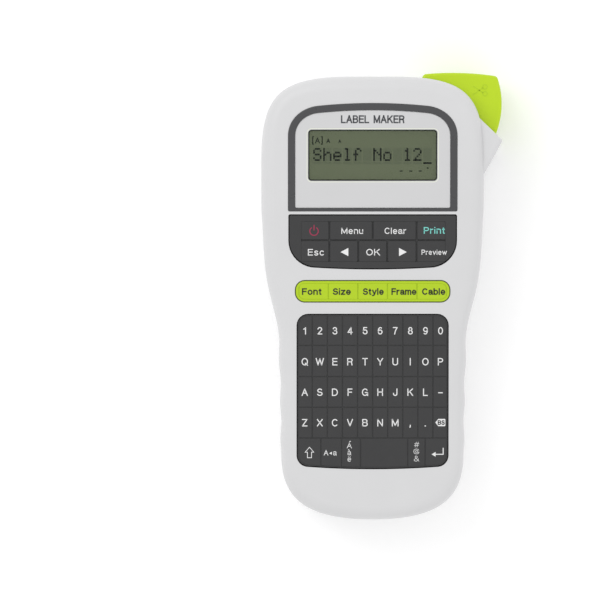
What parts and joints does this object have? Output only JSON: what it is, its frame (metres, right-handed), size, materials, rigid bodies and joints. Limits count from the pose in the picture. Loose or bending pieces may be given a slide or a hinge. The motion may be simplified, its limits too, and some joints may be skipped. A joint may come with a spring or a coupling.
{
  "type": "handheld label maker",
  "caption": "Handheld electronic label maker with a tilted display, keypads, a thumb-operated tape cutter lever and a cassette bay under a lift-off back cover.",
  "frame": {"origin": "on the surface that the back lies on, under the middle of the whole object's box", "axes": "+Y along the body from the keypad end to the display end, +X to the right as seen from the keypad side (towards the tape exit), +Z out of the back face towards the keypad side"},
  "size_m": [0.1119, 0.208, 0.0566],
  "materials": {
    "case_plastic": "fine satin moulded plastic",
    "panel_plastic": "smooth light panel",
    "bezel_plastic": "semi-gloss dark grey",
    "clear_plastic": "clear moulded window",
    "lcd_glass": "grey-green reflective liquid crystal cell",
    "dark_rubber": "satin silicone rubber",
    "black_rubber": "matt",
    "lime_rubber": "satin silicone rubber",
    "lime_plastic": "satin-gloss moulded plastic",
    "black_plastic": "moulded",
    "chassis_plastic": "moulded",
    "gear_plastic": "natural acetal",
    "cassette_plastic": "moulded",
    "steel": "plated",
    "brass": "turned",
    "head_aluminium": "extruded",
    "board": "solder mask",
    "tape": "wound label tape",
    "ribbon": "wound ink ribbon",
    "battery_skin": "printed sleeve, no marks"
  },
  "bodies": {
    "case": {"front_case": "case_plastic", "rear_case": "case_plastic", "case_screws": "steel", "display_bezel": "bezel_plastic", "display_panel": "panel_plastic", "lcd_window": "clear_plastic", "lcd_cell": "lcd_glass", "lcd_holder": "black_plastic", "zebra_strip": "black_rubber", "main_board": "board", "function_pad": "dark_rubber", "style_pad": "lime_rubber", "letter_pad": "dark_rubber", "lever_pivot_pin": "steel", "lever_spring": "steel", "tape_guide": "black_plastic", "mechanism_plate": "chassis_plastic", "print_head": "head_aluminium", "drive_motor": "steel", "cassette_case": "cassette_plastic", "batteries": "battery_skin", "battery_contacts": "steel", "dc_jack": "black_plastic"},
    "lever": {"cutter_lever": "lime_plastic", "blade_holder": "black_plastic", "cutter_blade": "steel"},
    "cover": {"back_cover": "case_plastic", "cover_window": "clear_plastic"},
    "arm": {"platen_arm": "black_plastic"},
    "platen": {"platen_gear": "gear_plastic", "platen_roller": "black_rubber"},
    "motor_rotor": {"motor_pinion": "brass"},
    "reduction": {"reduction_gear": "gear_plastic"},
    "ribbon_drive": {"ribbon_gear": "gear_plastic", "ribbon_spool": "ribbon"},
    "tape": {"tape_roll": "tape"},
    "key_power_body": {"key_power": "dark_rubber"},
    "key_menu_body": {"key_menu": "dark_rubber"},
    "key_clear_body": {"key_clear": "dark_rubber"},
    "key_print_body": {"key_print": "dark_rubber"},
    "key_escape_body": {"key_escape": "dark_rubber"},
    "key_left_body": {"key_left": "dark_rubber"},
    "key_ok_body": {"key_ok": "dark_rubber"},
    "key_right_body": {"key_right": "dark_rubber"},
    "key_preview_body": {"key_preview": "dark_rubber"},
    "key_font_body": {"key_font": "lime_rubber"},
    "key_size_body": {"key_size": "lime_rubber"},
    "key_style_body": {"key_style": "lime_rubber"},
    "key_frame_body": {"key_frame": "lime_rubber"},
    "key_cable_body": {"key_cable": "lime_rubber"},
    "keys_digits_body": {"keys_digits": "dark_rubber"},
    "keys_upper_row_body": {"keys_upper_row": "dark_rubber"},
    "keys_home_row_body": {"keys_home_row": "dark_rubber"},
    "keys_lower_row_body": {"keys_lower_row": "dark_rubber"},
    "key_shift_body": {"key_shift": "dark_rubber"},
    "key_caps_body": {"key_caps": "dark_rubber"},
    "key_accent_body": {"key_accent": "dark_rubber"},
    "key_space_body": {"key_space": "dark_rubber"},
    "key_symbol_body": {"key_symbol": "dark_rubber"},
    "key_enter_body": {"key_enter": "dark_rubber"}
  },
  "joints": [
    {"name": "lever_press", "type": "hinge", "parent": "case", "child": "lever", "pos_m": [0.02415, 0.0955, 0.025], "axis": [0, 0, -1], "range_deg": [0, 9], "stiffness_Nm_per_rad": 0.25},
    {"name": "cover_lift", "type": "slide", "parent": "case", "child": "cover", "axis": [0, 0, -1], "range_m": [0, 0.04]},
    {"name": "arm_release", "type": "hinge", "parent": "case", "child": "arm", "pos_m": [0.00765, 0.074, 0.013], "axis": [0, 0, 1], "range_deg": [0, 7]},
    {"name": "platen_spin", "type": "hinge", "parent": "arm", "child": "platen", "pos_m": [0.02565, 0.0692, 0.015], "axis": [0, 0, 1], "continuous": true},
    {"name": "motor_spin", "type": "hinge", "parent": "case", "child": "motor_rotor", "pos_m": [0.01212, 0.05853, 0.015], "axis": [0, 0, 1], "continuous": true},
    {"name": "reduction_spin", "type": "hinge", "parent": "case", "child": "reduction", "pos_m": [0.02565, 0.0536, 0.015], "axis": [0, 0, 1], "continuous": true},
    {"name": "ribbon_spin", "type": "hinge", "parent": "case", "child": "ribbon_drive", "pos_m": [0.01441, 0.04111, 0.015], "axis": [0, 0, 1], "continuous": true},
    {"name": "tape_roll_spin", "type": "hinge", "parent": "case", "child": "tape", "pos_m": [-0.01935, 0.045, 0.015], "axis": [0, 0, 1], "continuous": true},
    {"name": "key_power_press", "type": "slide", "parent": "case", "child": "key_power_body", "axis": [0, 0.063, -0.998], "range_m": [0, 0.0008], "stiffness_N_per_m": 900},
    {"name": "key_menu_press", "type": "slide", "parent": "case", "child": "key_menu_body", "axis": [0, 0.063, -0.998], "range_m": [0, 0.0008], "stiffness_N_per_m": 900},
    {"name": "key_clear_press", "type": "slide", "parent": "case", "child": "key_clear_body", "axis": [0, 0.063, -0.998], "range_m": [0, 0.0008], "stiffness_N_per_m": 900},
    {"name": "key_print_press", "type": "slide", "parent": "case", "child": "key_print_body", "axis": [0, 0.063, -0.998], "range_m": [0, 0.0008], "stiffness_N_per_m": 900},
    {"name": "key_escape_press", "type": "slide", "parent": "case", "child": "key_escape_body", "axis": [0, 0.063, -0.998], "range_m": [0, 0.0008], "stiffness_N_per_m": 900},
    {"name": "key_left_press", "type": "slide", "parent": "case", "child": "key_left_body", "axis": [0, 0.063, -0.998], "range_m": [0, 0.0008], "stiffness_N_per_m": 900},
    {"name": "key_ok_press", "type": "slide", "parent": "case", "child": "key_ok_body", "axis": [0, 0.063, -0.998], "range_m": [0, 0.0008], "stiffness_N_per_m": 900},
    {"name": "key_right_press", "type": "slide", "parent": "case", "child": "key_right_body", "axis": [0, 0.063, -0.998], "range_m": [0, 0.0008], "stiffness_N_per_m": 900},
    {"name": "key_preview_press", "type": "slide", "parent": "case", "child": "key_preview_body", "axis": [0, 0.063, -0.998], "range_m": [0, 0.0008], "stiffness_N_per_m": 900},
    {"name": "key_font_press", "type": "slide", "parent": "case", "child": "key_font_body", "axis": [0, 0.063, -0.998], "range_m": [0, 0.0008], "stiffness_N_per_m": 900},
    {"name": "key_size_press", "type": "slide", "parent": "case", "child": "key_size_body", "axis": [0, 0.063, -0.998], "range_m": [0, 0.0008], "stiffness_N_per_m": 900},
    {"name": "key_style_press", "type": "slide", "parent": "case", "child": "key_style_body", "axis": [0, 0.063, -0.998], "range_m": [0, 0.0008], "stiffness_N_per_m": 900},
    {"name": "key_frame_press", "type": "slide", "parent": "case", "child": "key_frame_body", "axis": [0, 0.063, -0.998], "range_m": [0, 0.0008], "stiffness_N_per_m": 900},
    {"name": "key_cable_press", "type": "slide", "parent": "case", "child": "key_cable_body", "axis": [0, 0.063, -0.998], "range_m": [0, 0.0008], "stiffness_N_per_m": 900},
    {"name": "keys_digits_press", "type": "slide", "parent": "case", "child": "keys_digits_body", "axis": [0, 0.063, -0.998], "range_m": [0, 0.0008], "stiffness_N_per_m": 4000},
    {"name": "keys_upper_row_press", "type": "slide", "parent": "case", "child": "keys_upper_row_body", "axis": [0, 0.063, -0.998], "range_m": [0, 0.0008], "stiffness_N_per_m": 4000},
    {"name": "keys_home_row_press", "type": "slide", "parent": "case", "child": "keys_home_row_body", "axis": [0, 0.063, -0.998], "range_m": [0, 0.0008], "stiffness_N_per_m": 4000},
    {"name": "keys_lower_row_press", "type": "slide", "parent": "case", "child": "keys_lower_row_body", "axis": [0, 0.063, -0.998], "range_m": [0, 0.0008], "stiffness_N_per_m": 4000},
    {"name": "key_shift_press", "type": "slide", "parent": "case", "child": "key_shift_body", "axis": [0, 0.063, -0.998], "range_m": [0, 0.0008], "stiffness_N_per_m": 900},
    {"name": "key_caps_press", "type": "slide", "parent": "case", "child": "key_caps_body", "axis": [0, 0.063, -0.998], "range_m": [0, 0.0008], "stiffness_N_per_m": 900},
    {"name": "key_accent_press", "type": "slide", "parent": "case", "child": "key_accent_body", "axis": [0, 0.063, -0.998], "range_m": [0, 0.0008], "stiffness_N_per_m": 900},
    {"name": "key_space_press", "type": "slide", "parent": "case", "child": "key_space_body", "axis": [0, 0.063, -0.998], "range_m": [0, 0.0008], "stiffness_N_per_m": 900},
    {"name": "key_symbol_press", "type": "slide", "parent": "case", "child": "key_symbol_body", "axis": [0, 0.063, -0.998], "range_m": [0, 0.0008], "stiffness_N_per_m": 900},
    {"name": "key_enter_press", "type": "slide", "parent": "case", "child": "key_enter_body", "axis": [0, 0.063, -0.998], "range_m": [0, 0.0008], "stiffness_N_per_m": 900}
  ],
  "couplings": [
    {"joint": "arm_release", "follows": "cover_lift", "rad_per_m": 3.0543},
    {"joint": "reduction_spin", "follows": "motor_spin", "ratio": -0.33333},
    {"joint": "platen_spin", "follows": "motor_spin", "ratio": 0.75},
    {"joint": "ribbon_spin", "follows": "motor_spin", "ratio": 0.6},
    {"joint": "tape_roll_spin", "follows": "motor_spin", "ratio": -0.15385}
  ]
}
